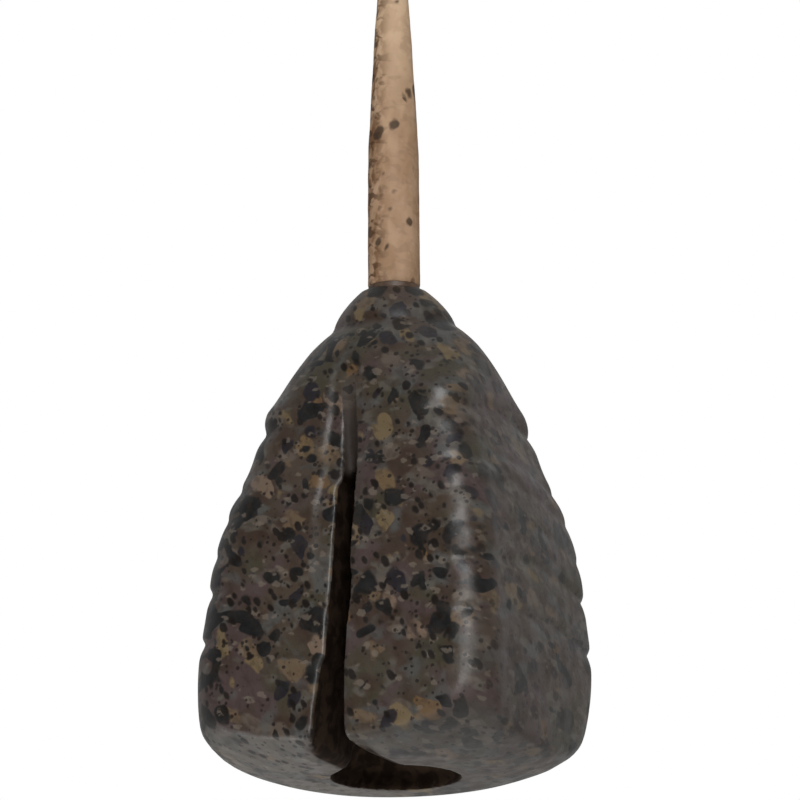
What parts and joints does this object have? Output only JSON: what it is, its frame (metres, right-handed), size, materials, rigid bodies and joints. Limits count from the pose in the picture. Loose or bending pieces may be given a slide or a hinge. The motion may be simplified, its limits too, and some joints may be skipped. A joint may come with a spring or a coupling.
{
  "type": "fishing sinker",
  "caption": "Slotted inline carp lead: a four-sided pear of coated lead with stepped gripper bands, a stem, a tapered tail rubber and a seated swivel.",
  "frame": {"origin": "centre of the lead's flat foot", "axes": "+Z along the leader's passage from the foot to the nose and on to the tip of the rubber; -Y out through the slot; +X to the right of the slot seen from the front"},
  "size_m": [0.0244, 0.0244, 0.0649],
  "materials": {
    "coated_lead": "satin camouflage coating",
    "stem_plastic": "moulded brown plastic",
    "soft_rubber": "matt tan rubber, lightly stained",
    "dark_steel": "dark matt plating"
  },
  "bodies": {
    "lead": {"lead_body": "coated_lead"},
    "stem_tube": {"stem": "stem_plastic"},
    "rubber": {"tail_rubber": "soft_rubber"},
    "swivel": {"swivel_barrel": "dark_steel"},
    "top_eye": {"swivel_top_eye": "dark_steel"},
    "bottom_eye": {"swivel_bottom_eye": "dark_steel"}
  },
  "joints": [
    {"name": "stem_pull", "type": "slide", "parent": "lead", "child": "stem_tube", "axis": [0, 0, 1], "range_m": [0, 0.0075]},
    {"name": "rubber_pull", "type": "slide", "parent": "stem_tube", "child": "rubber", "axis": [0, 0, 1], "range_m": [0, 0.0095]},
    {"name": "swivel_pull", "type": "slide", "parent": "lead", "child": "swivel", "axis": [0, 0, -1], "range_m": [0, 0.015]},
    {"name": "top_eye_spin", "type": "hinge", "parent": "swivel", "child": "top_eye", "pos_m": [0, 0, 0.01244], "axis": [0, 0, 1], "continuous": true},
    {"name": "bottom_eye_spin", "type": "hinge", "parent": "swivel", "child": "bottom_eye", "pos_m": [0, 0, 0.00344], "axis": [0, 0, -1], "continuous": true}
  ]
}
